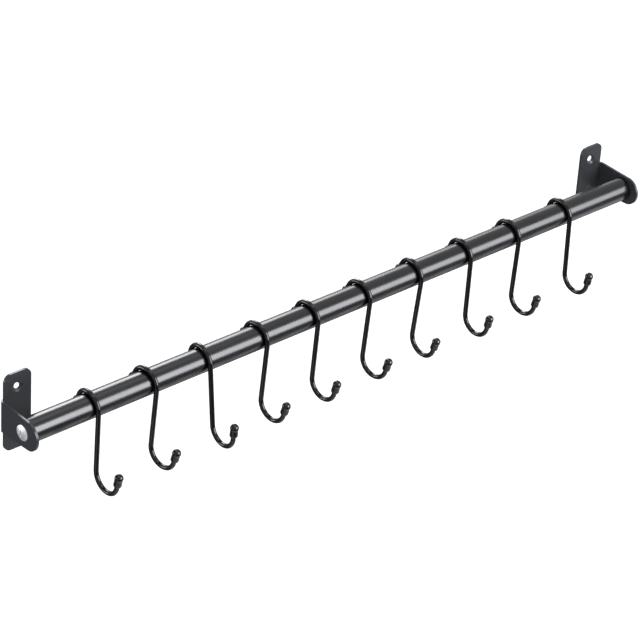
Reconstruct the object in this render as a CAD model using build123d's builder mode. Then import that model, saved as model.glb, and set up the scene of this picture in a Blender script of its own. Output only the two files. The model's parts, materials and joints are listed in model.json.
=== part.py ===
from build123d import *
import math
import os

# Kitchen hanging rail: a round steel tube held off the wall by two bent sheet brackets,
# with sliding wire hooks that carry plastic caps on both ends. Sizes in millimetres.
# X runs along the rail, +Y points into the wall and +Z points up.
# The origin is on the wall plane, midway between the brackets, level with the tube's axis.

# Rail tube
rail_length = 600.0          # over the outer faces of the two ears
tube_diameter = 19.0
tube_wall = 1.2
tube_edge_break = 0.3
axis_to_wall = 27.0          # tube axis to wall plane

# Brackets, each bent from one piece of sheet
sheet = 1.8
bend_inside = 1.0            # inside radius of the bend
plate_width = 26.0           # outer face of the ear to the plate's inner edge
plate_height = 63.0
plate_corner = 6.0
ear_root_height = 25.0
ear_margin = 2.0             # ear round the tube, at the rounded tip
ear_tip_forward = 5.0        # centre of the rounded tip, on the room side of the tube axis
wall_hole_diameter = 4.5
wall_countersink_diameter = 8.6
wall_countersink_angle = 100.0
wall_hole_inset = 12.0       # hole centre to the plate's upper or lower edge

# End screws and the threaded plugs they hold in the tube
screw_diameter = 6.0
screw_length = 16.0          # under the head
screw_head_diameter = 12.0
screw_head_height = 2.0
screw_head_rim = 0.7         # straight part of the head's edge
screw_point_chamfer = 0.8
screw_hole_clearance = 0.25  # radial, screw in the ear
recess_span = 5.4            # tip to tip of the cross recess
recess_arm = 1.1
recess_depth = 1.2
recess_taper = 14.0          # degrees that each wall leans in
plug_length = 14.0
plug_chamfer = 0.6
thread_clearance = 0.05      # radial, screw in the plug

# Hooks
hook_count = 10
first_hook_from_end = 54.0   # left end of the rail to the first hook's even place
last_hook_from_end = 78.0    # right end of the rail to the last hook's even place
wire_diameter = 3.8
loop_clearance = 0.2         # radial, loop round the tube
loop_end_angle = 20.0        # where the loop stops behind the tube, degrees above level
bend_depth = 48.0            # tube axis to the centre of the lower bend
bend_radius = 12.0           # wire centre line
bend_sweep = 169.0           # degrees that the lower bend turns
tip_bare = 2.4               # bare straight wire between the lower bend and the cap
# As each hook hangs: how far it has slid to the right of its even place, its lean about
# the tube with its foot towards the wall, and its turn with its tip towards the right end.
# Lean and turn are in degrees.
hook_shift = (3.0, 2.0, 0.5, 1.5, -1.0, -1.5, 0.0, 0.0, -0.5, 4.5)
hook_lean = (1.5, 4.5, -6.5, 4.0, 3.0, 4.0, 5.5, 0.5, 2.5, -1.5)
hook_turn = (0.0, 5.0, -1.0, 4.0, 3.0, 5.0, 0.0, 1.0, 4.0, 1.0)

# Plastic caps: a sleeved one on the tip, and a plain ball on the end behind the tube
cap_ball_diameter = 6.6
cap_sleeve_diameter = 6.2
cap_length = 7.4             # mouth of the sleeve to the centre of the ball
cap_mouth_chamfer = 0.7
cap_fit = 0.03               # radial, wire in the cap
ball_clearance = 0.3         # ball behind the tube to the tube

# Sizes that follow
tube_radius = tube_diameter / 2
tube_bore_radius = tube_radius - tube_wall
tube_length = rail_length - 2 * sheet
bend_outside = sheet + bend_inside
plate_left = -rail_length / 2 + bend_outside
plate_right = -rail_length / 2 + plate_width
plate_middle = (plate_left + plate_right) / 2
axis_y = -axis_to_wall
ear_tip_radius = tube_radius + ear_margin
wall_hole_spacing = plate_height - 2 * wall_hole_inset
screw_radius = screw_diameter / 2
wire_radius = wire_diameter / 2
ball_radius = cap_ball_diameter / 2
loop_radius = tube_radius + loop_clearance + wire_radius
# the straight end behind the tube is just long enough for its ball to clear the tube
ball_reach = tube_radius + ball_clearance + ball_radius
loop_straight = math.sqrt(ball_reach**2 - loop_radius**2)
tip_straight = cap_length + tip_bare
first_hook_x = -rail_length / 2 + first_hook_from_end
hook_pitch = (rail_length - first_hook_from_end - last_hook_from_end) / (hook_count - 1)

os.makedirs("parts", exist_ok=True)


def save(builder, name):
    builder.part.label = name
    export_step(builder.part, f"parts/{name}.step")


# Rail tube, between the inner faces of the ears
with BuildPart() as rail_tube:
    with BuildSketch(Plane(origin=(-tube_length / 2, axis_y, 0), x_dir=(0, 1, 0), z_dir=(1, 0, 0))):
        Circle(tube_radius)
        Circle(tube_bore_radius, mode=Mode.SUBTRACT)
    extrude(amount=tube_length)
    outer_rims = rail_tube.edges().filter_by(GeomType.CIRCLE).group_by(SortBy.RADIUS)[-1]
    fillet(outer_rims, tube_edge_break)
save(rail_tube, "rail_tube")


# Left bracket: wall plate, bend and ear
with BuildPart() as left_bracket:
    # wall plate, from the wall plane towards the room
    with BuildSketch(Plane(origin=(plate_middle, 0, 0), x_dir=(1, 0, 0), z_dir=(0, -1, 0))):
        RectangleRounded(plate_right - plate_left, plate_height, plate_corner)
    extrude(amount=sheet)
    # quarter bend at the foot of the ear
    with BuildSketch(Plane.XY.offset(-ear_root_height / 2)):
        with Locations((plate_left, -bend_outside)):
            Circle(bend_outside)
            Circle(bend_inside, mode=Mode.SUBTRACT)
        with Locations((plate_left, 0)):
            Rectangle(
                bend_outside,
                bend_outside,
                align=(Align.MAX, Align.MAX),
                mode=Mode.INTERSECT,
            )
    extrude(amount=ear_root_height)
    # ear, tapered from its root to the rounded tip round the tube's end
    with BuildSketch(Plane.YZ.offset(-rail_length / 2)):
        with BuildLine():
            Line((-bend_outside, -ear_root_height / 2), (-bend_outside, ear_root_height / 2))
            CenterArc((axis_y - ear_tip_forward, 0), ear_tip_radius, 0, 360)
        make_hull()
    extrude(amount=sheet)
    # countersunk holes for the wall screws
    room_face = Plane(origin=(plate_middle, -sheet, 0), x_dir=(1, 0, 0), z_dir=(0, -1, 0))
    with Locations(room_face):
        with GridLocations(0, wall_hole_spacing, 1, 2):
            CounterSinkHole(
                wall_hole_diameter / 2,
                wall_countersink_diameter / 2,
                counter_sink_angle=wall_countersink_angle,
            )
    # hole for the end screw
    ear_face = Plane(origin=(-rail_length / 2, axis_y, 0), x_dir=(0, 1, 0), z_dir=(-1, 0, 0))
    with Locations(ear_face):
        Hole(screw_radius + screw_hole_clearance, depth=2 * sheet)
save(left_bracket, "left_bracket")

with BuildPart() as right_bracket:
    add(left_bracket.part)
    mirror(about=Plane.YZ, mode=Mode.REPLACE)
save(right_bracket, "right_bracket")


# Threaded plug, pressed flush into the tube's left end
with BuildPart() as left_plug:
    with BuildSketch(Plane(origin=(-tube_length / 2, axis_y, 0), x_dir=(0, 1, 0), z_dir=(1, 0, 0))):
        Circle(tube_bore_radius)
        Circle(screw_radius + thread_clearance, mode=Mode.SUBTRACT)
    extrude(amount=plug_length)
    plug_rims = left_plug.edges().filter_by(GeomType.CIRCLE).group_by(SortBy.RADIUS)[-1]
    chamfer(plug_rims.sort_by(Axis.X)[-1], plug_chamfer)
save(left_plug, "left_plug")

with BuildPart() as right_plug:
    add(left_plug.part)
    mirror(about=Plane.YZ, mode=Mode.REPLACE)
save(right_plug, "right_plug")


# Domed screw through the left ear, with a cross recess
head_plane = Plane(origin=(-rail_length / 2, axis_y, 0), x_dir=(0, 1, 0), z_dir=(-1, 0, 0))
with BuildPart() as left_screw:
    with BuildSketch(head_plane):
        Circle(screw_head_diameter / 2)
    extrude(amount=screw_head_rim)
    # spherical dome on the rim
    dome_rise = screw_head_height - screw_head_rim
    dome_radius = ((screw_head_diameter / 2) ** 2 + dome_rise**2) / (2 * dome_rise)
    with BuildSketch(Plane(origin=(-rail_length / 2, axis_y, 0), x_dir=(0, 1, 0), z_dir=(0, 0, 1))):
        with BuildLine():
            rim_start = (0, screw_head_rim)
            rim_end = (screw_head_diameter / 2, screw_head_rim)
            crown = (0, screw_head_height)
            Line(crown, rim_start)
            Line(rim_start, rim_end)
            RadiusArc(rim_end, crown, -dome_radius)
        make_face()
    revolve(axis=Axis((-rail_length / 2, axis_y, 0), (1, 0, 0)))
    # shank
    with BuildSketch(head_plane):
        Circle(screw_radius)
    extrude(amount=-screw_length)
    point = left_screw.edges().filter_by(GeomType.CIRCLE).sort_by(Axis.X)[-1]
    chamfer(point, screw_point_chamfer)
    # cross recess, narrowing with depth
    with BuildSketch(head_plane.offset(screw_head_height)):
        Rectangle(recess_span, recess_arm)
        Rectangle(recess_arm, recess_span)
    extrude(amount=-recess_depth, taper=recess_taper, mode=Mode.SUBTRACT)
save(left_screw, "left_screw")

with BuildPart() as right_screw:
    add(left_screw.part)
    mirror(about=Plane.YZ, mode=Mode.REPLACE)
save(right_screw, "right_screw")


def hook_plane(index):
    # the plane a hook is bent in, centred on the tube: local x to the wall, local y up
    hang = index % len(hook_shift)
    station = first_hook_x + index * hook_pitch + hook_shift[hang]
    to_wall = Vector(0, 1, 0).rotate(Axis.X, hook_lean[hang]).rotate(Axis.Z, hook_turn[hang])
    along_rail = Vector(1, 0, 0).rotate(Axis.Z, hook_turn[hang])
    return Plane(origin=(station, axis_y, 0), x_dir=to_wall, z_dir=along_rail)


def make_cap(end_plane, length):
    # cap on a wire end: local z leaves the wire, the origin is the ball's centre
    # length runs from the sleeve's mouth to that centre, and is 0 on a plain ball
    with BuildPart() as cap:
        with Locations(end_plane):
            Sphere(ball_radius)
        if length > 0:
            with BuildSketch(end_plane.offset(-length)):
                Circle(cap_sleeve_diameter / 2)
            sleeve = extrude(amount=length)
            mouth = sleeve.edges().filter_by(GeomType.CIRCLE).sort_by(
                lambda edge: end_plane.to_local_coords(edge.center()).Z
            )[0]
            chamfer(cap.edges().filter_by(lambda edge: edge.is_same(mouth)), cap_mouth_chamfer)
        with BuildSketch(end_plane.offset(cap_fit)):
            Circle(wire_radius + cap_fit)
        extrude(amount=-cap_fit - max(length, ball_radius), mode=Mode.SUBTRACT)
    return cap


for index in range(hook_count):
    name = f"hook_{index + 1:02d}"
    # one wire: straight end behind the tube, loop, stem, lower bend and upturned tip
    with BuildPart() as hook:
        with BuildLine(hook_plane(index)) as route:
            loop = CenterArc((0, 0), loop_radius, loop_end_angle, 180 - loop_end_angle)
            back_end = Line(loop @ 0 - loop % 0 * loop_straight, loop @ 0)
            stem = Line(loop @ 1, loop @ 1 + loop % 1 * bend_depth)
            bend = JernArc(stem @ 1, stem % 1, bend_radius, -bend_sweep)
            tip = Line(bend @ 1, bend @ 1 + bend % 1 * tip_straight)
        top_end = Plane(origin=back_end @ 0, z_dir=-(back_end % 0))
        tip_end = Plane(origin=tip @ 1, z_dir=tip % 1)
        with BuildSketch(top_end):
            Circle(wire_radius)
        sweep(path=route.wire())
    save(hook, name)
    save(make_cap(tip_end, cap_length), name + "_tip_cap")
    save(make_cap(top_end, 0), name + "_top_ball")

widest = max(wire_diameter, cap_ball_diameter)
print("hook pitch", round(hook_pitch, 2), "free between hooks", round(hook_pitch - widest, 2))
print("loop straight", round(loop_straight, 2), "hole spacing", wall_hole_spacing)
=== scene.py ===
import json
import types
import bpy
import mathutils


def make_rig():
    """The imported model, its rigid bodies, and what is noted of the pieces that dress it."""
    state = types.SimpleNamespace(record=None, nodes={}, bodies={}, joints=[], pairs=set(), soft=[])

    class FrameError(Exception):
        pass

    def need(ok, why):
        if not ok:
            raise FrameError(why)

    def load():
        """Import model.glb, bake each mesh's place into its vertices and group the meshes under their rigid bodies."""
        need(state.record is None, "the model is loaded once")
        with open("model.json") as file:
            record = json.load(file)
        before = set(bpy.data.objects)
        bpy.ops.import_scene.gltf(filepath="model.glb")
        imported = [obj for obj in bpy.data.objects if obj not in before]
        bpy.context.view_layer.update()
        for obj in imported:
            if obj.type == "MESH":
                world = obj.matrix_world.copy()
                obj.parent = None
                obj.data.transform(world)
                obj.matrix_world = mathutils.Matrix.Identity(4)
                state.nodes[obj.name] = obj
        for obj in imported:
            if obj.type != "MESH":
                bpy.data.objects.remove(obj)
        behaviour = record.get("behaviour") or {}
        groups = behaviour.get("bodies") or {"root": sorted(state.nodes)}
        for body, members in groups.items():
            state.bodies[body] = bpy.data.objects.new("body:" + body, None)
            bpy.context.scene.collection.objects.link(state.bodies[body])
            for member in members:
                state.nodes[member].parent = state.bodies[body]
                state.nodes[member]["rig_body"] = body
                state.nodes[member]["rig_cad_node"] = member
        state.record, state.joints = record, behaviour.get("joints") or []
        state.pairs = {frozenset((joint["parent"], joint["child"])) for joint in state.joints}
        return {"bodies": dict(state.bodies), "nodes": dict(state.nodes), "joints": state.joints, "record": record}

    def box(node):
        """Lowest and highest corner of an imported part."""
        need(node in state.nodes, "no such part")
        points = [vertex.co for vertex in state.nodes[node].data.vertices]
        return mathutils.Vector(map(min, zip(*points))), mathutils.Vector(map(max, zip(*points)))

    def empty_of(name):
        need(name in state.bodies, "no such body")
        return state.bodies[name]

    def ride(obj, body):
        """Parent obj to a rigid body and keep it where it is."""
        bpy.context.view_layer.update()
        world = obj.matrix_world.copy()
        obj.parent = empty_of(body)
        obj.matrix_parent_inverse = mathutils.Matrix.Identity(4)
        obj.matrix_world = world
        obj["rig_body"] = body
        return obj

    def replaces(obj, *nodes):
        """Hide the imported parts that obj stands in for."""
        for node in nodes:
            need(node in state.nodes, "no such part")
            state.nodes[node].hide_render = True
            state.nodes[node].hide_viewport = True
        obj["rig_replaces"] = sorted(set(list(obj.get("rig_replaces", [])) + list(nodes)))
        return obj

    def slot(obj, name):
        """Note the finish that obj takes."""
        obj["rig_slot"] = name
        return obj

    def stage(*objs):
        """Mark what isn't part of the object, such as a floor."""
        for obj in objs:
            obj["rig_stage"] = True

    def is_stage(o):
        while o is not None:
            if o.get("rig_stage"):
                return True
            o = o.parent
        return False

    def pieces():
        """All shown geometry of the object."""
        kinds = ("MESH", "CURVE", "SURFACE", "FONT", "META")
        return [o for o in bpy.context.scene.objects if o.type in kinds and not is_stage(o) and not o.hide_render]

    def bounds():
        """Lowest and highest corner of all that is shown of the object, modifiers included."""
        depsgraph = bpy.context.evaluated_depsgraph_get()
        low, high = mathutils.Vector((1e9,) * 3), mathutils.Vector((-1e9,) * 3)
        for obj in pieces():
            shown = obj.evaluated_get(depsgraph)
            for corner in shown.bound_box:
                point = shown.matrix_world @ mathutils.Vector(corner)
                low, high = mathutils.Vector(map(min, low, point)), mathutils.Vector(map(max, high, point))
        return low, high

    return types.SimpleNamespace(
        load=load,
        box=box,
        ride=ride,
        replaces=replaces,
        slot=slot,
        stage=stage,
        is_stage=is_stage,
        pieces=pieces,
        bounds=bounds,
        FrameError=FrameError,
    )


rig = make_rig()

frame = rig.load()

import json
import math

import bmesh
import bpy
from bpy.props import FloatProperty, FloatVectorProperty, IntProperty, PointerProperty
from bpy.types import Operator, Panel, PropertyGroup
from mathutils import Matrix, Vector

bl_info = {
    "name": "Kitchen Hanging Rail",
    "version": (1, 0, 0),
    "blender": (4, 5, 0),
    "location": "View3D > Sidebar > Rail",
    "description": "Builds a wall rail with its brackets, end screws and sliding hooks",
    "category": "Object",
}

# What the frame gives: the box of the whole part, the tube, the wall holes, the reach of
# a bracket and the hooks.
cad_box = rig.bounds()
mounts = {mount["name"]: mount for mount in frame["record"]["mounts"]}
bar_centre = Vector(mounts["rail_bar"]["pos_m"])
bar_radius = mounts["rail_bar"]["dims"]["r_mm"] / 1000
bar_length = mounts["rail_bar"]["dims"]["length_mm"] / 1000
wall_holes = mounts["wall_holes"]["dims"]
bracket_low, bracket_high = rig.box("left_bracket")
rail_half = -bracket_low.x
hook_names = sorted(body for body in frame["bodies"] if body.startswith("hook"))

along_rail = Vector((1, 0, 0))
to_wall = Vector((0, 1, 0))
rail_ends = (("left", -1), ("right", 1))

# in metres: what counts as one place while modelling, and in a finished mesh
same_place = 1e-6
weld = 1e-7

# the sockets of a colour Mix node, whose names float and vector sockets share
mix_a, mix_b, mix_result = 6, 7, 2

micrometre = 1e-6


def linear(hex_colour):
    # sRGB hex to the linear colour that the shaders take
    channels = [int(hex_colour[i:i + 2], 16) / 255 for i in (1, 3, 5)]
    lit = [c / 12.92 if c <= 0.04045 else ((c + 0.055) / 1.055) ** 2.4 for c in channels]
    return (*lit, 1.0)


def length(name, description, millimetres):
    return FloatProperty(
        name=name,
        description=description,
        default=millimetres / 1000,
        min=0.0,
        precision=5,
        subtype="DISTANCE",
        unit="LENGTH",
    )


def degrees(name, description, value):
    return FloatProperty(
        name=name,
        description=description,
        default=math.radians(value),
        subtype="ANGLE",
        unit="ROTATION",
    )


def angles(name, description, values):
    return FloatVectorProperty(
        name=name,
        description=description,
        default=[math.radians(value) for value in values],
        size=len(values),
        subtype="EULER",
        unit="ROTATION",
    )


def colour(name, description, hex_colour):
    return FloatVectorProperty(
        name=name,
        description=description,
        default=linear(hex_colour),
        min=0.0,
        max=1.0,
        size=4,
        subtype="COLOR",
    )


def count(name, description, value, least=3):
    return IntProperty(name=name, description=description, default=value, min=least)


def level(name, description, value):
    return FloatProperty(
        name=name,
        description=description,
        default=value,
        min=0.0,
        max=1.0,
        subtype="FACTOR",
    )


class TubeSizes(PropertyGroup):
    wall: length("Wall", "Thickness of the steel tube's wall", 1.2)
    edge_break: length("Edge Break", "Rounding of the tube's outer rims", 0.3)
    sides: count("Sides", "Faces round the tube", 96, 12)


class BracketSizes(PropertyGroup):
    sheet: length("Sheet", "Thickness of the steel sheet", (rail_half - bar_length / 2) * 1000)
    bend_inside: length("Bend", "Inside radius of the bend at the ear's foot", 1.0)
    corner: length("Corner", "Radius of the wall plate's corners", 6.0)
    root_height: length("Ear Root", "Height of the ear where it leaves the bend", 25.0)
    ear_margin: length("Ear Margin", "How far the rounded tip stands out past the tube", 2.0)
    tip_forward: length("Tip Forward", "Centre of the tip, in front of the tube's axis", 5.0)
    countersink: length("Countersink", "Diameter of a wall hole at the room face", 8.6)
    screw_hole: length("Screw Hole", "Diameter of the ear's hole", 6.5)
    edge_round: length("Edge Rounding", "What tumbling and coating take off cut edges", 0.32)
    edge_angle: degrees("Edge Angle", "Least turn at an edge that gets rounded", 30.0)
    folds: count("Folds", "Strips that make up the bend", 10)
    corner_steps: count("Corner Steps", "Flats round each corner", 10)
    tip_steps: count("Tip Steps", "Flats round the ear's tip", 40)
    hole_sides: count("Hole Sides", "Flats round each hole", 40)


class ScrewSizes(PropertyGroup):
    shank: length("Shank", "Diameter of the shank", 6.0)
    reach: length("Length", "Length under the head", 16.0)
    head: length("Head", "Diameter of the domed head", 12.0)
    head_height: length("Head Height", "Height of the dome over the ear", 2.0)
    head_rim: length("Rim", "Straight part of the head's edge", 0.7)
    point_chamfer: length("Point", "Chamfer at the shank's end", 0.8)
    recess_span: length("Recess", "Tip to tip of the cross recess", 5.4)
    recess_arm: length("Recess Arm", "Width of each arm of the recess", 1.1)
    recess_depth: length("Recess Depth", "Depth of the recess under the crown", 1.2)
    recess_taper: degrees("Recess Taper", "Lean of the recess walls", 14.0)
    edge_round: length("Edge Rounding", "Rounding of the stamped edges", 0.12)
    edge_angle: degrees("Edge Angle", "Least turn at an edge that gets rounded", 28.0)
    dome_steps: count("Dome Steps", "Flats from the head's rim to its crown", 14)
    sides: count("Sides", "Faces round the screw", 72, 12)


class HookSizes(PropertyGroup):
    wire: length("Wire", "Diameter of the wire", 3.8)
    loop_clearance: length("Loop Clearance", "Gap from the loop to the tube", 0.2)
    loop_end: degrees("Loop End", "Where the loop stops behind the tube, above level", 20.0)
    loop_straight: length("Loop Straight", "Straight wire behind the tube", 6.09)
    bend_depth: length("Bend Depth", "Tube axis down to the centre of the lower bend", 48.0)
    bend_radius: length("Bend Radius", "Centre line of the lower bend", 12.0)
    bend_sweep: degrees("Bend Sweep", "Turn of the lower bend", 169.0)
    tip: length("Tip", "Straight wire past the lower bend", 9.8)
    lean: angles(
        "Lean",
        "How far each hook leans about the tube, with its foot towards the wall",
        (1.5, 4.5, -6.5, 4.0, 3.0, 4.0, 5.5, 0.5, 2.5, -1.5),
    )
    turned: angles(
        "Turned",
        "How far each hook is turned, with its tip towards the right end",
        (0.0, 5.0, -1.0, 4.0, 3.0, 5.0, 0.0, 1.0, 4.0, 1.0),
    )
    sides: count("Sides", "Faces round the wire", 24, 8)
    loop_steps: count("Loop Steps", "Rings of faces along the loop", 48)
    bend_steps: count("Bend Steps", "Rings of faces along the lower bend", 44)


class CapSizes(PropertyGroup):
    ball: length("Ball", "Diameter of the ball", 6.6)
    sleeve: length("Sleeve", "Diameter of the sleeve at its mouth", 6.2)
    neck: length("Neck", "Diameter of the sleeve where it meets the ball", 5.9)
    reach: length("Length", "Mouth of the sleeve to the centre of the ball", 7.4)
    lip: length("Lip", "Rounding of the sleeve's mouth", 0.7)
    fit: length("Fit", "Gap between the wire and the bore", 0.03)
    sides: count("Sides", "Faces round a cap", 32, 12)
    ball_steps: count("Ball Steps", "Flats from the ball's neck to its crown", 20)


class Finishes(PropertyGroup):
    tube: colour("Tube", "Semi-gloss black powder coat", "#090a10")
    bracket: colour("Bracket", "Satin black powder coat", "#0a0c11")
    # painted highlight: the lighter grey on the brackets' rounded edges stands in for the light that they mirror
    bracket_edge: colour("Bracket Edge", "The same coat where it is thin on a cut edge", "#3a3c40")
    hook: colour("Hook", "Gloss black stove enamel", "#050509")
    cap: colour("Cap", "Moulded black vinyl", "#060609")
    screw: colour("Screw", "Nickel plate on steel", "#eeeeee")
    plug: colour("Plug", "Moulded black nylon", "#1b1b1c")
    floor: colour("Floor", "Pale studio paper", "#f2f2f0")
    cloth: colour("Cloth", "Grey studio cloth", "#a0a3aa")
    # painted shade: the darker grey that the flat cloth takes in patches, as in the hollows of waves
    cloth_wave_shade: colour("Cloth Hollow", "The same cloth where it lies lower", "#94979e")


class Studio(PropertyGroup):
    floor_drop: length("Floor Drop", "Rail's axis down to the floor", 420.0)
    floor_span: length("Floor Span", "Side of the square floor", 16000.0)
    floor_glow: level("Floor Glow", "What lifts the paper to white where it is seen", 0.45)
    cloth_span: length("Cloth Span", "Side of each square cloth", 6000.0)
    cloth_gap: length("Cloth Gap", "Wall's plane to the near edge of the front cloth", 410.0)
    cloth_lift: length("Cloth Lift", "Height of the cloths over the floor", 4.0)
    ambient: level("Ambient", "World's light on the rail, where 1 is white", 0.55)
    lamp_distance: length("Lamp Distance", "Rail's line to a lamp", 2200.0)
    mirrored_gap: length("Mirrored Gap", "How much further the mirrored lamps stand", 50.0)
    mirrored_light: FloatVectorProperty(
        name="Mirrored Light",
        description="Colour of the lamps that only gloss mirrors, a little cool",
        default=(0.95, 0.96, 1.0),
        min=0.0,
        max=1.0,
        size=3,
        subtype="COLOR",
    )
    camera: FloatVectorProperty(
        name="Camera",
        description="Where the camera stands",
        default=(-1.33111, -1.40955, 1.15047),
        subtype="XYZ",
        unit="LENGTH",
    )
    yaw: degrees("Yaw", "Camera's heading, from the wall's direction to the right end", 43.3536)
    pitch: degrees("Pitch", "Camera's tilt below level", 31.3469)
    roll: degrees("Roll", "Camera's roll about its own view", 3.8367)
    near_limit: length("Near Limit", "Nearest thing that the camera shows", 50.0)
    lens: FloatProperty(
        name="Lens",
        description="Focal length",
        default=168.177,
        unit="CAMERA",
    )
    sensor: FloatProperty(
        name="Sensor",
        description="Width of the camera's sensor",
        default=36.0,
        unit="CAMERA",
    )


class RailSettings(PropertyGroup):
    tube: PointerProperty(type=TubeSizes)
    bracket: PointerProperty(type=BracketSizes)
    screw: PointerProperty(type=ScrewSizes)
    hook: PointerProperty(type=HookSizes)
    cap: PointerProperty(type=CapSizes)
    finish: PointerProperty(type=Finishes)
    studio: PointerProperty(type=Studio)


# Meshes


def turn(bm, geometry, centre, axis, angle, steps, merge=False):
    # spins geometry about an axis and gives what stands at the end of the turn
    return bmesh.ops.spin(
        bm,
        geom=geometry,
        cent=centre,
        axis=axis,
        dvec=(0, 0, 0),
        angle=angle,
        space=Matrix.Identity(4),
        steps=steps,
        use_merge=merge,
        use_duplicate=False,
    )["geom_last"]


def chain(bm, points):
    # joins points by edges and gives the vertices
    verts = [bm.verts.new(point) for point in points]
    for pair in zip(verts, verts[1:]):
        bm.edges.new(pair)
    return verts


def push(bm, edges, offset):
    # extrudes an open loop of edges and gives the loop at the far end
    made = bmesh.ops.extrude_edge_only(bm, edges=edges)["geom"]
    verts = [part for part in made if isinstance(part, bmesh.types.BMVert)]
    bmesh.ops.translate(bm, vec=offset, verts=verts)
    far = set(verts)
    return [
        part for part in made
        if isinstance(part, bmesh.types.BMEdge) and part.verts[0] in far and part.verts[1] in far
    ]


def rounded(bm, geometry, offset, steps=3, affect="EDGES"):
    return bmesh.ops.bevel(
        bm,
        geom=geometry,
        offset=offset,
        offset_type="OFFSET",
        segments=steps,
        profile=0.5,
        affect=affect,
        clamp_overlap=True,
        material=-1,
    )


def sharp_edges(bm, least):
    return [e for e in bm.edges if len(e.link_faces) == 2 and e.calc_face_angle() > least]


def finish_piece(bm, name, material, body, node, slot, flat_angle=40.0):
    # closes a modelled piece, hangs it on its body and puts it in its node's place
    bmesh.ops.remove_doubles(bm, verts=bm.verts[:], dist=weld)
    bmesh.ops.recalc_face_normals(bm, faces=bm.faces[:])
    mesh = bpy.data.meshes.new(name)
    bm.to_mesh(mesh)
    bm.free()
    mesh.shade_smooth()
    mesh.set_sharp_from_angle(angle=math.radians(flat_angle))
    mesh.materials.append(material)
    piece = bpy.data.objects.new(name, mesh)
    bpy.context.scene.collection.objects.link(piece)
    even = piece.modifiers.new("Even Shading", "WEIGHTED_NORMAL")
    even.keep_sharp = True
    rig.ride(piece, body)
    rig.replaces(piece, node)
    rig.slot(piece, slot)


def tube_mesh(sizes):
    # the tube's wall in section, turned about the tube's axis
    bm = bmesh.new()
    bore = bar_radius - sizes.wall
    half = bar_length / 2
    corners = [(-half, bar_radius), (half, bar_radius), (half, bore), (-half, bore)]
    verts = chain(bm, [bar_centre + Vector((x, 0, r)) for x, r in corners])
    bm.edges.new((verts[-1], verts[0]))
    section = bm.verts[:] + bm.edges[:]
    turn(bm, section, bar_centre, along_rail, 2 * math.pi, sizes.sides, merge=True)

    def on_outer_rim(edge):
        first, last = edge.verts
        outside = all((v.co - bar_centre).yz.length > (bar_radius + bore) / 2 for v in edge.verts)
        return outside and abs(first.co.x - last.co.x) < same_place

    rounded(bm, [edge for edge in bm.edges if on_outer_rim(edge)], sizes.edge_break)
    return bm


def tangent_point(corner, centre, radius):
    # where a straight edge from a corner, at its upper side, meets a round tip
    reach = (centre - corner).length
    lean = math.acos(radius / reach)
    back = corner - centre
    heading = math.atan2(back.y, back.x) - lean
    return centre + radius * Vector((math.cos(heading), math.sin(heading)))


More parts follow.
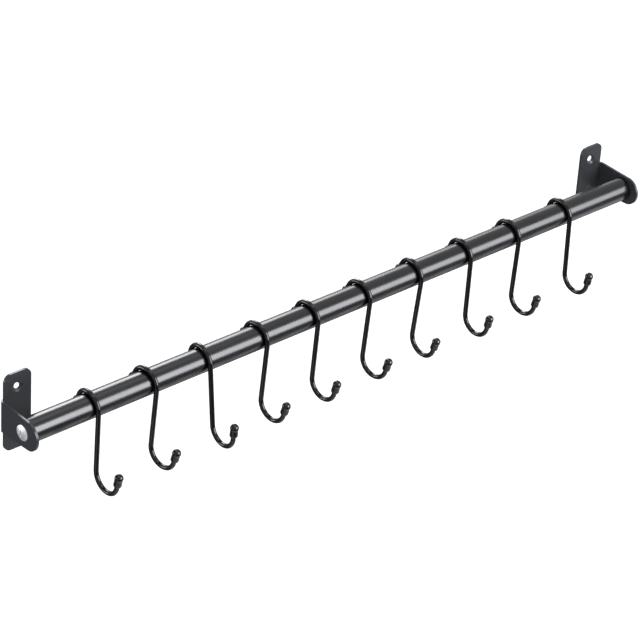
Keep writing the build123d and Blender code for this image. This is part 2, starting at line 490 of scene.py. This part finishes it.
def bracket_mesh(sizes, side):
    # Cut as one flat blank in the wall plane, then folded, as the real one is. On the
    # blank, x runs outwards past the fold line, and z is the wall's upward direction.
    bend_outside = sizes.sheet + sizes.bend_inside
    step = math.pi / 2 / sizes.folds
    strip = 2 * bend_outside * math.sin(step / 2)
    bend_length = strip * sizes.folds
    fold_line = rail_half - bend_outside
    plate = bracket_high.x - bracket_low.x - bend_outside
    top = bracket_high.z
    root = sizes.root_height / 2
    screw_x = bend_length - bar_centre.y - bend_outside
    tip = Vector((screw_x + sizes.tip_forward, 0))
    touch = tangent_point(Vector((bend_length, root)), tip, bar_radius + sizes.ear_margin)

    def placed(x, z):
        return Vector((side * (fold_line + x), 0, z))

    bm = bmesh.new()
    outline = [(-plate, top), (0, top), (0, root), (bend_length, root)]
    upper = chain(bm, [placed(x, z) for x, z in (*outline, touch)])
    lower = chain(bm, [placed(x, -z) for x, z in outline])
    half_tip = math.atan2(touch.y, touch.x - tip.x)
    end = turn(bm, upper[-1:], placed(*tip), to_wall, side * 2 * half_tip, sizes.tip_steps)
    end_vert = next(part for part in end if isinstance(part, bmesh.types.BMVert))
    bm.edges.new((end_vert, lower[-1]))
    bm.edges.new((upper[0], lower[0]))
    rounded(bm, upper[:2] + lower[:2], sizes.corner, sizes.corner_steps, "VERTICES")

    # holes, which the fill leaves open
    hole_x = wall_holes["spacing_x_mm"] / 2000 - fold_line
    hole_z = wall_holes["spacing_y_mm"] / 2000
    wall_hole = wall_holes["hole_r_mm"] / 1000
    for centre, radius in (
        (placed(hole_x, hole_z), wall_hole),
        (placed(hole_x, -hole_z), wall_hole),
        (placed(screw_x, 0), sizes.screw_hole / 2),
    ):
        bmesh.ops.create_circle(
            bm,
            radius=radius,
            segments=sizes.hole_sides,
            cap_ends=False,
            matrix=Matrix.Translation(centre) @ Matrix.Rotation(math.pi / 2, 4, "X"),
        )
    bmesh.ops.triangle_fill(bm, edges=bm.edges[:], use_beauty=True, use_dissolve=False)

    # the fold, from its far side back to the plate
    lines = [k * strip for k in range(sizes.folds + 1)]
    for line in lines:
        everything = bm.verts[:] + bm.edges[:] + bm.faces[:]
        bmesh.ops.bisect_plane(bm, geom=everything, plane_co=placed(line, 0), plane_no=along_rail)
    past = {vert: side * vert.co.x - fold_line for vert in bm.verts}
    for k in reversed(range(sizes.folds + 1)):
        angle = step if 0 < k < sizes.folds else step / 2
        bmesh.ops.rotate(
            bm,
            cent=placed(lines[k], 0),
            matrix=Matrix.Rotation(-side * angle, 3, "Z"),
            verts=[vert for vert in bm.verts if past[vert] > lines[k] + same_place],
        )

    # the sheet's thickness, on the room side of the plate
    bmesh.ops.recalc_face_normals(bm, faces=bm.faces[:])
    plate_face = next(f for f in bm.faces if f.calc_center_median().y > -same_place)
    if plate_face.normal.y < 0:
        bmesh.ops.reverse_faces(bm, faces=bm.faces[:])
    bmesh.ops.solidify(bm, geom=bm.faces[:], thickness=sizes.sheet)
    bmesh.ops.recalc_face_normals(bm, faces=bm.faces[:])

    # the wall holes open out to their countersinks at the room face
    grow = sizes.countersink / 2 / wall_hole
    rim_reach = wall_hole * 1.1
    for sign in (1, -1):
        centre = placed(hole_x, sign * hole_z) - to_wall * sizes.sheet
        mouth = [vert for vert in bm.verts if (vert.co - centre).length < rim_reach]
        space = Matrix.Translation(-centre)
        bmesh.ops.scale(bm, vec=(grow, 1, grow), space=space, verts=mouth)

    # the coat's material reads this attribute, which is 1 on the rounded edges, and
    # paints a highlight there in a lighter grey
    edge_highlight = bm.verts.layers.float.new("edge")
    for vert in rounded(bm, sharp_edges(bm, sizes.edge_angle), sizes.edge_round)["verts"]:
        vert[edge_highlight] = 1.0
    return bm


def screw_mesh(sizes, side):
    # half the screw's outline, turned about the tube's axis
    bm = bmesh.new()
    seat = Vector((side * rail_half, bar_centre.y, 0))

    def placed(out, radius):
        return seat + Vector((side * out, 0, radius))

    head = sizes.head / 2
    rise = sizes.head_height - sizes.head_rim
    dome = (head ** 2 + rise ** 2) / (2 * rise)
    half_dome = math.asin(head / dome)
    verts = chain(bm, [
        placed(-sizes.reach, 0),
        placed(-sizes.reach, sizes.shank / 2 - sizes.point_chamfer),
        placed(sizes.point_chamfer - sizes.reach, sizes.shank / 2),
        placed(0, sizes.shank / 2),
        placed(0, head),
        placed(sizes.head_rim, head),
    ])
    dome_centre = placed(sizes.head_height - dome, 0)
    turn(bm, verts[-1:], dome_centre, to_wall, side * half_dome, sizes.dome_steps)
    outline = bm.verts[:] + bm.edges[:]
    turn(bm, outline, seat, along_rail, 2 * math.pi, sizes.sides, merge=True)
    bmesh.ops.remove_doubles(bm, verts=bm.verts[:], dist=same_place)
    bmesh.ops.recalc_face_normals(bm, faces=bm.faces[:])
    return bm


def recess_mesh(sizes, side):
    # the punch of the cross recess: two crossed arms that narrow with depth, and that
    # stand as far over the crown as they reach under it
    bm = bmesh.new()
    crown = Vector((side * (rail_half + sizes.head_height), bar_centre.y, 0))
    narrow = math.tan(sizes.recess_taper)
    for span, arm in (
        (sizes.recess_span, sizes.recess_arm),
        (sizes.recess_arm, sizes.recess_span),
    ):
        for vert in bmesh.ops.create_cube(bm, size=1.0)["verts"]:
            out = math.copysign(sizes.recess_depth, vert.co.x)
            lean = narrow * out
            vert.co = Vector((
                out * side,
                math.copysign(span / 2 + lean, vert.co.y),
                math.copysign(arm / 2 + lean, vert.co.z),
            ))
    bmesh.ops.translate(bm, vec=crown, verts=bm.verts[:])
    bmesh.ops.recalc_face_normals(bm, faces=bm.faces[:])
    return bm


def loose_object(bm, name):
    # an object that isn't a piece of the rail: a cutting shape, or a part of the stage
    mesh = bpy.data.meshes.new(name)
    bm.to_mesh(mesh)
    bm.free()
    made = bpy.data.objects.new(name, mesh)
    bpy.context.scene.collection.objects.link(made)
    return made


def punched_screw(sizes, side):
    # the turned screw less its cross recess, as one closed mesh
    blank = loose_object(screw_mesh(sizes, side), "screw_blank")
    punch = loose_object(recess_mesh(sizes, side), "recess_punch")
    cut = blank.modifiers.new("Recess", "BOOLEAN")
    cut.operation = "DIFFERENCE"
    cut.solver = "EXACT"
    cut.use_self = True
    cut.object = punch
    bm = bmesh.new()
    bm.from_object(blank, bpy.context.evaluated_depsgraph_get())
    for scrap in (blank, punch):
        mesh = scrap.data
        bpy.data.objects.remove(scrap)
        bpy.data.meshes.remove(mesh)
    rounded(bm, sharp_edges(bm, sizes.edge_angle), sizes.edge_round, steps=2)
    return bm


def hook_ends(sizes):
    # Upright hook, with the tube's centre at the origin: the centre of its lower bend,
    # and for the wire's top end and its tip, where each is and the way it points.
    loop = bar_radius + sizes.loop_clearance + sizes.wire / 2
    start = sizes.loop_end
    outward = Vector((0, math.cos(start), math.sin(start)))
    top_way = Vector((0, math.sin(start), -math.cos(start)))
    top_end = outward * loop + top_way * sizes.loop_straight
    bend_centre = Vector((0, -loop - sizes.bend_radius, -sizes.bend_depth))
    turned = -sizes.bend_sweep
    rim = Vector((0, math.cos(turned), math.sin(turned)))
    tip_way = Vector((0, math.sin(turned), -math.cos(turned)))
    tip_end = bend_centre + rim * sizes.bend_radius + tip_way * sizes.tip
    return bend_centre, (top_end, top_way), (tip_end, tip_way)


def hang(bm, name, sizes):
    # leans and turns an upright piece of a hook, and carries it to where the frame seats it
    hook = hook_names.index(name)
    pose = Matrix.Rotation(sizes.turned[hook], 3, "Z") @ Matrix.Rotation(sizes.lean[hook], 3, "X")
    bend_centre, _, _ = hook_ends(sizes)
    seat = bend_centre - Vector((0, 0, sizes.bend_radius - sizes.wire / 2))
    bmesh.ops.rotate(bm, cent=(0, 0, 0), matrix=pose, verts=bm.verts[:])
    hung = Vector(mounts[name + "_seat"]["pos_m"]) - pose @ seat
    bmesh.ops.translate(bm, vec=hung, verts=bm.verts[:])
    return bm


def wire_mesh(name, sizes):
    # one length of wire, bent in the order that a maker bends it
    bend_centre, (top_end, top_way), (_, tip_way) = hook_ends(sizes)
    bm = bmesh.new()
    facing = (-top_way).to_track_quat("Z", "X").to_matrix().to_4x4()
    bmesh.ops.create_circle(
        bm,
        radius=sizes.wire / 2,
        segments=sizes.sides,
        cap_ends=False,
        matrix=Matrix.Translation(top_end) @ facing,
    )
    first = bm.edges[:]

    def bend(edges, centre, angle, steps):
        verts = list(dict.fromkeys(vert for edge in edges for vert in edge.verts))
        last = turn(bm, verts + edges, centre, along_rail, angle, steps)
        return [part for part in last if isinstance(part, bmesh.types.BMEdge)]

    edges = push(bm, first, -top_way * sizes.loop_straight)
    edges = bend(edges, (0, 0, 0), math.pi - sizes.loop_end, sizes.loop_steps)
    edges = push(bm, edges, (0, 0, -sizes.bend_depth))
    edges = bend(edges, bend_centre, -sizes.bend_sweep, sizes.bend_steps)
    edges = push(bm, edges, tip_way * sizes.tip)
    bmesh.ops.edgeloop_fill(bm, edges=edges)
    bmesh.ops.edgeloop_fill(bm, edges=first)
    return hang(bm, name, sizes)


def cap_mesh(name, hook, sizes, end, way, sleeved):
    # turned at the origin, where x is the radius and z leaves the wire, then carried to
    # the wire's end
    bm = bmesh.new()
    ball = sizes.ball / 2
    bore = hook.wire / 2 + sizes.fit
    if sleeved:
        meeting = math.acos(sizes.neck / 2 / ball)
        rise = math.sin(meeting) * ball
        sleeve = sizes.sleeve / 2
        mouth = -sizes.reach
        lip = sizes.lip
        # two flats round the lip, a straight run of two lips and a taper to the neck
        outline = [
            (0, sizes.fit),
            (bore, sizes.fit),
            (bore, mouth),
            (sleeve - lip, mouth),
            (sleeve - lip * 0.3, mouth + lip * 0.3),
            (sleeve, mouth + lip),
            (sleeve, mouth + lip * 3),
            (sizes.neck / 2, -rise - lip * 0.5),
            (sizes.neck / 2, -rise),
        ]
    else:
        meeting = math.acos(bore / ball)
        outline = [(0, sizes.fit), (bore, sizes.fit), (bore, -math.sin(meeting) * ball)]
    verts = chain(bm, [(radius, 0, along) for radius, along in outline])
    centre = (0, 0, 0)
    to_crown = meeting + math.pi / 2
    turn(bm, verts[-1:], centre, Vector((0, -1, 0)), to_crown, sizes.ball_steps)
    half = bm.verts[:] + bm.edges[:]
    turn(bm, half, centre, Vector((0, 0, 1)), 2 * math.pi, sizes.sides, merge=True)
    bmesh.ops.remove_doubles(bm, verts=bm.verts[:], dist=same_place)
    facing = way.to_track_quat("Z", "X").to_matrix()
    bmesh.ops.rotate(bm, cent=centre, matrix=facing, verts=bm.verts[:])
    bmesh.ops.translate(bm, vec=end, verts=bm.verts[:])
    return hang(bm, name, hook)


# Materials


def add_node(tree, kind, inputs=None, **settings):
    # adds a node; an input is given a value, or the socket that feeds it
    node = tree.nodes.new(kind)
    for key, value in settings.items():
        setattr(node, key, value)
    for key, value in (inputs or {}).items():
        if isinstance(value, bpy.types.NodeSocket):
            tree.links.new(value, node.inputs[key])
        else:
            node.inputs[key].default_value = value
    return node


def new_material(name):
    material = bpy.data.materials.new(name)
    material.use_nodes = True
    tree = material.node_tree
    tree.nodes.clear()
    place = add_node(tree, "ShaderNodeTexCoord").outputs["Object"]
    return material, tree, place


def per_metre(millimetres):
    # noise scale at which one lump is this wide
    return 1000 / millimetres


def scaled(rgba, share):
    return (*(channel * share for channel in rgba[:3]), 1.0)


def close_material(tree, drift, base, dark_share, roughness, bump, constants, edge_highlight=None):
    # Joins a finish up. One noise makes its colour drift between a darker share of the
    # base and the base, and its roughness between two values, which are spread from the
    # noise's own middle, near which it keeps. A painted highlight, where one is given,
    # mixes a second, lighter colour in where its mask is 1.
    tint = add_node(
        tree,
        "ShaderNodeMix",
        {"Factor": drift, mix_a: scaled(base, dark_share), mix_b: base},
        data_type="RGBA",
    )
    if edge_highlight:
        where, under = edge_highlight
        tint = add_node(
            tree,
            "ShaderNodeMix",
            {"Factor": where, mix_a: tint.outputs[mix_result], mix_b: under},
            data_type="RGBA",
        )
    smoothest, roughest = roughness
    sheen = add_node(
        tree,
        "ShaderNodeMapRange",
        {
            "Value": drift,
            "From Min": 0.3,
            "From Max": 0.7,
            "To Min": smoothest,
            "To Max": roughest,
        },
    )
    surface = add_node(
        tree,
        "ShaderNodeBsdfPrincipled",
        {
            "Base Color": tint.outputs[mix_result],
            "Roughness": sheen.outputs["Result"],
            "Normal": bump.outputs["Normal"],
            **constants,
        },
    )
    add_node(tree, "ShaderNodeOutputMaterial", {"Surface": surface.outputs["BSDF"]})


def semi_gloss_powder_coat(finish):
    # Black polyester powder baked on steel tube. It flows out into a smooth, fairly
    # glossy skin with a faint orange peel, so bright shapes mirror in it with soft edges.
    material, tree, place = new_material("Semi-gloss black powder coat")
    cloud, peel, grain = (
        add_node(
            tree,
            "ShaderNodeTexNoise",
            {"Vector": place, "Scale": per_metre(lump), "Detail": detail},
        ).outputs["Fac"]
        for lump, detail in ((25, 3.0), (2.2, 2.0), (0.5, 1.0))
    )
    # real peel is a few micrometres high; it is drawn a little coarser so that it shows
    peel_bump = add_node(
        tree,
        "ShaderNodeBump",
        {"Strength": 0.35, "Distance": 40 * micrometre, "Height": peel},
    )
    bump = add_node(
        tree,
        "ShaderNodeBump",
        {
            "Strength": 0.15,
            "Distance": 10 * micrometre,
            "Height": grain,
            "Normal": peel_bump.outputs["Normal"],
        },
    )
    close_material(tree, cloud, finish.tube, 0.7, (0.21, 0.26), bump, {"IOR": 1.46})
    return material


def satin_powder_coat(finish):
    # Black polyester powder with a matting agent, baked on bent sheet. It scatters
    # highlights into a sheen and feels finely grained. Its rounded edges get a painted
    # highlight, a lighter grey that stands in for the light they mirror. Its grain is
    # drawn coarser than it is, so that it shows.
    material, tree, place = new_material("Satin black powder coat")
    cloud, grain = (
        add_node(
            tree,
            "ShaderNodeTexNoise",
            {"Vector": place, "Scale": per_metre(lump), "Detail": detail},
        ).outputs["Fac"]
        for lump, detail in ((12, 4.0), (0.9, 3.0))
    )
    edge = add_node(tree, "ShaderNodeAttribute", attribute_name="edge", attribute_type="GEOMETRY")
    bump = add_node(
        tree,
        "ShaderNodeBump",
        {"Strength": 0.4, "Distance": 30 * micrometre, "Height": grain},
    )
    # the rounded edges take a painted highlight, a lighter grey
    edge_highlight = (edge.outputs["Fac"], finish.bracket_edge)
    close_material(tree, cloud, finish.bracket, 0.75, (0.22, 0.28), bump, {"IOR": 1.32}, edge_highlight)
    return material


def stove_enamel(finish):
    # Gloss black stove enamel on drawn wire: a thin, hard, wet-looking skin that flows a
    # little unevenly, which shows as slightly wavy highlights.
    material, tree, place = new_material("Gloss black stove enamel")
    flow = add_node(
        tree,
        "ShaderNodeTexNoise",
        {"Vector": place, "Scale": per_metre(5), "Detail": 2.0},
    ).outputs["Fac"]
    bump = add_node(
        tree,
        "ShaderNodeBump",
        {"Strength": 0.3, "Distance": 50 * micrometre, "Height": flow},
    )
    close_material(tree, flow, finish.hook, 0.6, (0.12, 0.18), bump, {"IOR": 1.38})
    return material


def moulded_vinyl(finish):
    # Black vinyl moulded in a polished tool: soft, slightly waxy, with small sharp
    # highlights on the ball.
    material, tree, place = new_material("Moulded black vinyl")
    cloud = add_node(
        tree,
        "ShaderNodeTexNoise",
        {"Vector": place, "Scale": per_metre(3), "Detail": 2.0},
    ).outputs["Fac"]
    bump = add_node(
        tree,
        "ShaderNodeBump",
        {"Strength": 0.25, "Distance": 40 * micrometre, "Height": cloud},
    )
    close_material(tree, cloud, finish.cap, 0.6, (0.07, 0.12), bump, {"IOR": 1.4})
    return material


def nickel_plate(finish):
    # Bright nickel on a cold-headed steel screw: a metal with a faint frost and the fine
    # rings that the heading tool leaves round its axis. A wave texture at this scale
    # draws a ring each 1.3 mm, further apart than they are, so that they show.
    material, tree, place = new_material("Nickel plated steel")
    centred = add_node(
        tree,
        "ShaderNodeMapping",
        {"Vector": place, "Location": (0.0, -bar_centre.y, -bar_centre.z)},
        vector_type="POINT",
    )
    rings = add_node(
        tree,
        "ShaderNodeTexWave",
        {
            "Vector": centred.outputs["Vector"],
            "Scale": per_metre(4),
            "Distortion": 0.6,
            "Detail": 1.0,
        },
        wave_type="RINGS",
        rings_direction="X",
    )
    frost = add_node(
        tree,
        "ShaderNodeTexNoise",
        {"Vector": place, "Scale": per_metre(0.8), "Detail": 3.0},
    ).outputs["Fac"]
    bump = add_node(
        tree,
        "ShaderNodeBump",
        {"Strength": 0.2, "Distance": 10 * micrometre, "Height": rings.outputs["Fac"]},
    )
    close_material(tree, frost, finish.screw, 0.9, (0.38, 0.46), bump, {"Metallic": 1.0})
    return material


def moulded_nylon(finish):
    # Black nylon of the end plugs: matt, with a fine spark-eroded mould texture.
    material, tree, place = new_material("Moulded black nylon")
    grain = add_node(
        tree,
        "ShaderNodeTexNoise",
        {"Vector": place, "Scale": per_metre(0.6), "Detail": 2.0},
    ).outputs["Fac"]
    bump = add_node(
        tree,
        "ShaderNodeBump",
        {"Strength": 0.4, "Distance": 30 * micrometre, "Height": grain},
    )
    close_material(tree, grain, finish.plug, 0.7, (0.5, 0.62), bump, {"IOR": 1.53})
    return material


def seen_directly(tree):
    # 1 for rays that show the studio itself: to the camera, or mirrored or through glass
    path = add_node(tree, "ShaderNodeLightPath")
    either = add_node(
        tree,
        "ShaderNodeMath",
        {0: path.outputs["Is Camera Ray"], 1: path.outputs["Is Glossy Ray"]},
        operation="ADD",
    )
    return add_node(
        tree,
        "ShaderNodeMath",
        {0: either.outputs[0], 1: path.outputs["Is Transmission Ray"]},
        operation="ADD",
        use_clamp=True,
    ).outputs[0]


def studio_paper(finish, glow):
    # Pale matt background paper. Its glow, which only direct and mirrored rays see,
    # lifts it to white and leaves the object's shadow in the paper's own shading.
    material, tree, place = new_material("Pale studio paper")
    fibre = add_node(
        tree,
        "ShaderNodeTexNoise",
        {"Vector": place, "Scale": per_metre(40), "Detail": 2.0},
    )
    white = add_node(
        tree,
        "ShaderNodeMix",
        {"Factor": fibre.outputs["Fac"], mix_a: scaled(finish.floor, 0.99), mix_b: finish.floor},
        data_type="RGBA",
    )
    paper = add_node(tree, "ShaderNodeBsdfDiffuse", {"Color": white.outputs[mix_result]})
    strength = add_node(
        tree,
        "ShaderNodeMath",
        {0: seen_directly(tree), 1: glow},
        operation="MULTIPLY",
    )
    light = add_node(tree, "ShaderNodeEmission", {"Strength": strength.outputs[0]})
    both = add_node(tree, "ShaderNodeAddShader", {0: paper.outputs[0], 1: light.outputs[0]})
    add_node(tree, "ShaderNodeOutputMaterial", {"Surface": both.outputs[0]})
    return material


def studio_cloth(finish):
    # Grey cotton cloth, matt all over. It lies flat; its shallow waves from unrolling are
    # only painted shade, a noise that darkens it in patches where their hollows would lie.
    material, tree, place = new_material("Grey studio cloth")
    waves = add_node(tree, "ShaderNodeTexNoise", {"Vector": place, "Scale": per_metre(30)})
    # painted shade: the noise darkens the cloth in patches, as in the hollows of its waves
    grey = add_node(
        tree,
        "ShaderNodeMix",
        {"Factor": waves.outputs["Fac"], mix_a: finish.cloth_wave_shade, mix_b: finish.cloth},
        data_type="RGBA",
    )
    cotton = add_node(tree, "ShaderNodeBsdfDiffuse", {"Color": grey.outputs[mix_result]})
    add_node(tree, "ShaderNodeOutputMaterial", {"Surface": cotton.outputs[0]})
    return material


# Stage


def laid_square(name, material, span, middle, height):
    bm = bmesh.new()
    bmesh.ops.create_grid(bm, x_segments=1, y_segments=1, size=span / 2)
    bmesh.ops.translate(bm, vec=(0, middle, height), verts=bm.verts[:])
    laid = loose_object(bm, name)
    laid.data.materials.append(material)
    return laid


def lay_cloth(studio, name, material, middle):
    # Grey cloth lies over the pale paper before and behind the rail, as in a product
    # studio. Only mirrored rays meet it: gloss black then mirrors dark, right up to its
    # outlines, and each view shows plain paper.
    height = studio.cloth_lift - studio.floor_drop
    cloth = laid_square(name, material, studio.cloth_span, middle, height)
    cloth.visible_camera = False
    cloth.visible_diffuse = False
    cloth.visible_transmission = False
    cloth.visible_shadow = False
    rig.stage(cloth)


def softbox(
    studio, name, along, azimuth, elevation, width, height, radiance, spread=180, mirrored=False
):
    # A rectangular lamp that faces a point on the rail's line, which is along from the
    # rail's middle. Azimuth 0 is in front of the rail and 90 past its right end. A
    # mirrored lamp shows in gloss and adds no light to a matt surface, which so keeps a
    # plain level. It stands further away than the others, since a ray counts only one
    # of two lamps in the same place.
    lamp = bpy.data.lights.new(name, "AREA")
    lamp.shape = "RECTANGLE"
    lamp.spread = math.radians(spread)
    lamp.size = width
    lamp.size_y = height
    lamp.energy = radiance * math.pi * width * height
    lamp.color = studio.mirrored_light if mirrored else (1.0, 1.0, 1.0)
    turned, raised = math.radians(azimuth), math.radians(elevation)
    away = Vector((
        math.sin(turned) * math.cos(raised),
        -math.cos(turned) * math.cos(raised),
        math.sin(raised),
    ))
    distance = studio.lamp_distance + (studio.mirrored_gap if mirrored else 0.0)
    made = bpy.data.objects.new(name, lamp)
    made.location = along_rail * along + away * distance
    made.rotation_euler = away.to_track_quat("Z", "Y").to_euler()
    made.visible_camera = False
    made.visible_diffuse = not mirrored
    bpy.context.scene.collection.objects.link(made)


def set_lamps(studio):
    # long strips run beside the rail, so that each mirrors in it as one even band
    softbox(
        studio, "key",
        along=1.5, azimuth=0, elevation=22,
        width=2.5, height=1.6, radiance=2.2, spread=112,
    )
    softbox(
        studio, "key_strip",
        along=1.5, azimuth=0, elevation=18.5,
        width=2.5, height=1.9, radiance=6.6, spread=112, mirrored=True,
    )
    softbox(
        studio, "rim_strip",
        along=1.65, azimuth=180, elevation=34,
        width=2.4, height=1.2, radiance=6.8, spread=82, mirrored=True,
    )
    softbox(
        studio, "overhead",
        along=-0.3, azimuth=0, elevation=84,
        width=0.8, height=0.8, radiance=5.0,
    )
    softbox(
        studio, "ceiling_strip",
        along=0.9, azimuth=0, elevation=88,
        width=0.9, height=1.1, radiance=1.2, mirrored=True,
    )
    softbox(
        studio, "side_fill",
        along=-0.3, azimuth=-135, elevation=-2,
        width=0.9, height=0.5, radiance=13.0, mirrored=True,
    )


def set_world(scene, ambient):
    # white where it is seen, directly or mirrored, and dimmer as a light on the rail
    world = bpy.data.worlds.new("Studio")
    world.use_nodes = True
    tree = world.node_tree
    tree.nodes.clear()
    strength = add_node(
        tree,
        "ShaderNodeMapRange",
        {"Value": seen_directly(tree), "To Min": ambient, "To Max": 1.0},
    )
    sky = add_node(
        tree,
        "ShaderNodeBackground",
        {"Color": (1, 1, 1, 1), "Strength": strength.outputs["Result"]},
    )
    add_node(tree, "ShaderNodeOutputWorld", {"Surface": sky.outputs[0]})
    scene.world = world


def set_camera(scene, studio):
    lens = bpy.data.cameras.new("camera")
    lens.sensor_width = studio.sensor
    lens.lens = studio.lens
    lens.clip_start = studio.near_limit
    camera = bpy.data.objects.new("camera", lens)
    camera.matrix_world = (
        Matrix.Translation(studio.camera)
        @ Matrix.Rotation(-studio.yaw, 4, "Z")
        @ Matrix.Rotation(math.pi / 2 - studio.pitch, 4, "X")
        @ Matrix.Rotation(studio.roll, 4, "Z")
    )
    scene.collection.objects.link(camera)
    scene.camera = camera


# Operators


class RAIL_OT_stage(Operator):
    """Sets the floor, the soft studio light and the camera"""
    bl_idname = "rail.stage"
    bl_label = "Stage"

    def execute(self, context):
        rail = context.scene.rail
        studio = rail.studio
        paper = studio_paper(rail.finish, studio.floor_glow)
        floor = laid_square("floor", paper, studio.floor_span, 0, -studio.floor_drop)
        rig.stage(floor)
        set_lamps(studio)
        cotton = studio_cloth(rail.finish)
        half = studio.cloth_span / 2
        lay_cloth(studio, "front_cloth", cotton, -studio.cloth_gap - half)
        lay_cloth(studio, "back_cloth", cotton, half)
        set_world(context.scene, studio.ambient)
        set_camera(context.scene, studio)
        context.scene.view_settings.view_transform = "Standard"
        return {"FINISHED"}


class RAIL_OT_tube(Operator):
    """Builds the round steel tube"""
    bl_idname = "rail.tube"
    bl_label = "Rail Tube"

    def execute(self, context):
        rail = context.scene.rail
        coat = semi_gloss_powder_coat(rail.finish)
        finish_piece(tube_mesh(rail.tube), "tube", coat, "rail", "rail_tube", "tube_black")
        return {"FINISHED"}


class RAIL_OT_brackets(Operator):
    """Builds the two bent sheet brackets"""
    bl_idname = "rail.brackets"
    bl_label = "Brackets"

    def execute(self, context):
        rail = context.scene.rail
        coat = satin_powder_coat(rail.finish)
        for name, side in rail_ends:
            bm = bracket_mesh(rail.bracket, side)
            finish_piece(bm, name + "_plate", coat, "rail", name + "_bracket", "bracket_black")
        return {"FINISHED"}


class RAIL_OT_screws(Operator):
    """Builds the two domed end screws with their cross recesses"""
    bl_idname = "rail.screws"
    bl_label = "End Screws"

    def execute(self, context):
        rail = context.scene.rail
        plate = nickel_plate(rail.finish)
        for name, side in rail_ends:
            bm = punched_screw(rail.screw, side)
            piece, node = name + "_end_screw", name + "_screw"
            finish_piece(bm, piece, plate, "rail", node, "screw_steel", flat_angle=30.0)
        return {"FINISHED"}


class RAIL_OT_plugs(Operator):
    """Gives the threaded plugs inside the tube their finish"""
    bl_idname = "rail.plugs"
    bl_label = "End Plugs"

    def execute(self, context):
        nylon = moulded_nylon(context.scene.rail.finish)
        for node in ("left_plug", "right_plug"):
            plug = frame["nodes"][node]
            plug.data.materials.clear()
            plug.data.materials.append(nylon)
            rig.slot(plug, "plug_plastic")
        return {"FINISHED"}


class RAIL_OT_hooks(Operator):
    """Bends the wire of every hook"""
    bl_idname = "rail.hooks"
    bl_label = "Hooks"

    def execute(self, context):
        rail = context.scene.rail
        enamel = stove_enamel(rail.finish)
        for name in hook_names:
            bm = wire_mesh(name, rail.hook)
            finish_piece(bm, name + "_wire", enamel, name, name, "hook_black")
        return {"FINISHED"}


class RAIL_OT_caps(Operator):
    """Moulds the caps on both ends of every hook"""
    bl_idname = "rail.caps"
    bl_label = "Hook Caps"

    def execute(self, context):
        rail = context.scene.rail
        vinyl = moulded_vinyl(rail.finish)
        _, top, tip = hook_ends(rail.hook)
        for name in hook_names:
            for (end, way), part, sleeved in ((tip, "tip_cap", True), (top, "top_ball", False)):
                bm = cap_mesh(name, rail.hook, rail.cap, end, way, sleeved)
                node = f"{name}_{part}"
                finish_piece(bm, node + "_vinyl", vinyl, name, node, "cap_black")
        return {"FINISHED"}


class RAIL_PT_sidebar(Panel):
    """Lists the pieces of the rail and their sizes"""
    bl_idname = "RAIL_PT_sidebar"
    bl_label = "Kitchen Hanging Rail"
    bl_space_type = "VIEW_3D"
    bl_region_type = "UI"
    bl_category = "Rail"

    def draw(self, context):
        rail = context.scene.rail
        for group, operator in (
            (rail.tube, RAIL_OT_tube),
            (rail.bracket, RAIL_OT_brackets),
            (rail.screw, RAIL_OT_screws),
            (None, RAIL_OT_plugs),
            (rail.hook, RAIL_OT_hooks),
            (rail.cap, RAIL_OT_caps),
            (rail.studio, RAIL_OT_stage),
            (rail.finish, None),
        ):
            box = self.layout.box()
            for size in group.bl_rna.properties.keys() if group else ():
                if size not in {"rna_type", "name"}:
                    box.prop(group, size)
            if operator:
                box.operator(operator.bl_idname)


classes = (
    TubeSizes,
    BracketSizes,
    ScrewSizes,
    HookSizes,
    CapSizes,
    Finishes,
    Studio,
    RailSettings,
    RAIL_OT_stage,
    RAIL_OT_tube,
    RAIL_OT_brackets,
    RAIL_OT_screws,
    RAIL_OT_plugs,
    RAIL_OT_hooks,
    RAIL_OT_caps,
    RAIL_PT_sidebar,
)


def register():
    for cls in classes:
        bpy.utils.register_class(cls)
    bpy.types.Scene.rail = PointerProperty(type=RailSettings)


def unregister():
    del bpy.types.Scene.rail
    for cls in reversed(classes):
        bpy.utils.unregister_class(cls)


def main():
    register()
    bpy.ops.rail.stage()
    bpy.ops.rail.tube()
    bpy.ops.rail.brackets()
    bpy.ops.rail.screws()
    bpy.ops.rail.plugs()
    bpy.ops.rail.hooks()
    bpy.ops.rail.caps()
    sizes = {
        "cad_box": [list(corner) for corner in cad_box],
        "final_box": [list(corner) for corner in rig.bounds()],
    }
    with open("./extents.json", "w") as out:
        json.dump(sizes, out)


if __name__ == "__main__":
    main()
